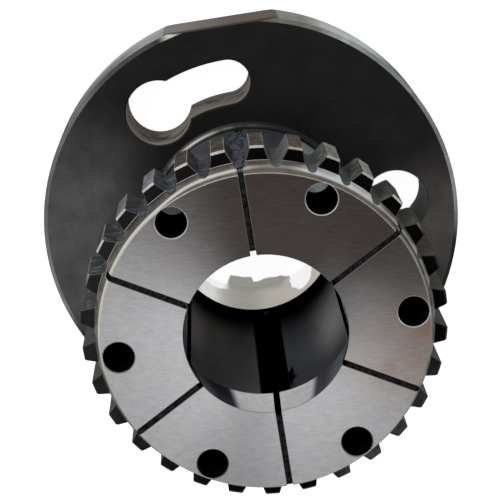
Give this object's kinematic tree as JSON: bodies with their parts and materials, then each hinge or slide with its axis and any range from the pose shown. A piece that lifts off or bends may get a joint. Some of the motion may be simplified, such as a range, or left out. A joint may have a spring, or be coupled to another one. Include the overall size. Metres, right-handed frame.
{
  "type": "expanding collet",
  "caption": "Slotted expanding collet with a toothed gripping head, a slim neck and a bayonet flange with one flat, its slits sealed with rubber.",
  "frame": {"origin": "on the collet's axis in the back face of the flange, at the mouth of the locating bore", "axes": "+Z along the axis, from the flange to the face of the toothed head; +Y is the outward normal of the flat on the flange's rim; +X completes a right-handed frame"},
  "size_m": [0.1324, 0.1302, 0.13],
  "materials": {
    "ground_steel": "hardened and ground steel with a fine lay",
    "sealant": "dull poured sealing rubber"
  },
  "bodies": {
    "root": {"collet_body": "ground_steel", "slot_seal_1": "sealant", "slot_seal_2": "sealant", "slot_seal_3": "sealant", "slot_seal_4": "sealant", "slot_seal_5": "sealant", "slot_seal_6": "sealant"}
  },
  "joints": []
}
